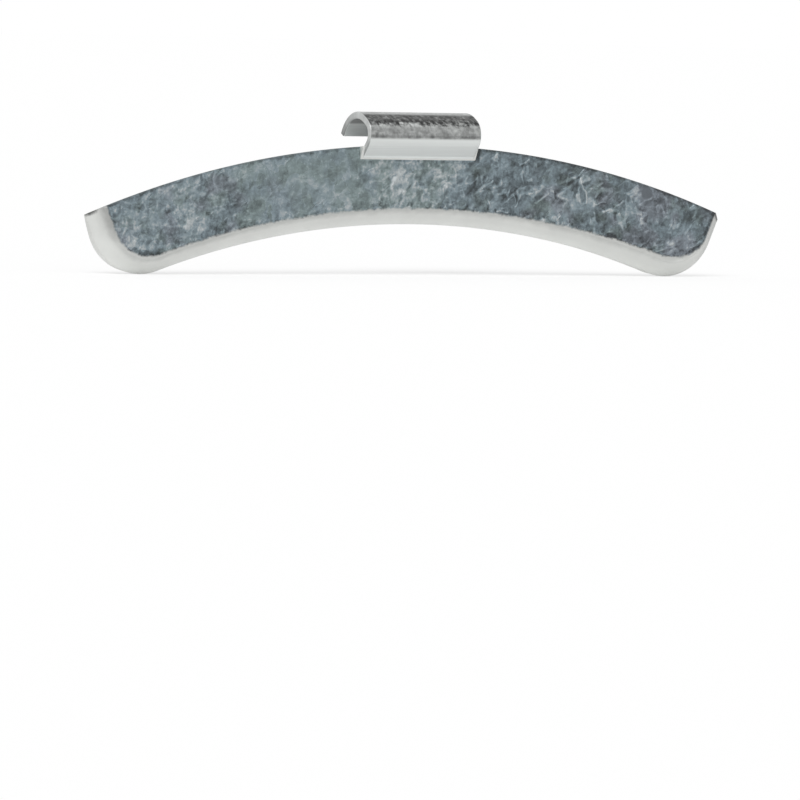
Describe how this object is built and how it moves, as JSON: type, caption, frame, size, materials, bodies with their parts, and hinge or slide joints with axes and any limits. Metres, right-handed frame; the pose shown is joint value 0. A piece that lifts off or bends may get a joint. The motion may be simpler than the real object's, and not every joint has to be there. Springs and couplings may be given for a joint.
{
  "type": "wheel balance weight",
  "caption": "Curved cast balance weight with a flat front, bevelled foot and ends and a convex rim seat, and a bent spring-steel clip that hooks over a wheel's rim flange.",
  "frame": {"origin": "on the axis of the clip's front bend, where the flange's rolled edge lies, midway along the strip", "axes": "+X along the weight, +Y from the front face back towards the wheel, +Z away from the wheel's axis"},
  "size_m": [0.1544, 0.0146, 0.0355],
  "materials": {
    "zinc_casting": "as cast, dull and mottled",
    "spring_steel": "bright strip with dull patches"
  },
  "bodies": {
    "root": {"cast_weight": "zinc_casting", "rim_clip": "spring_steel"}
  },
  "joints": []
}
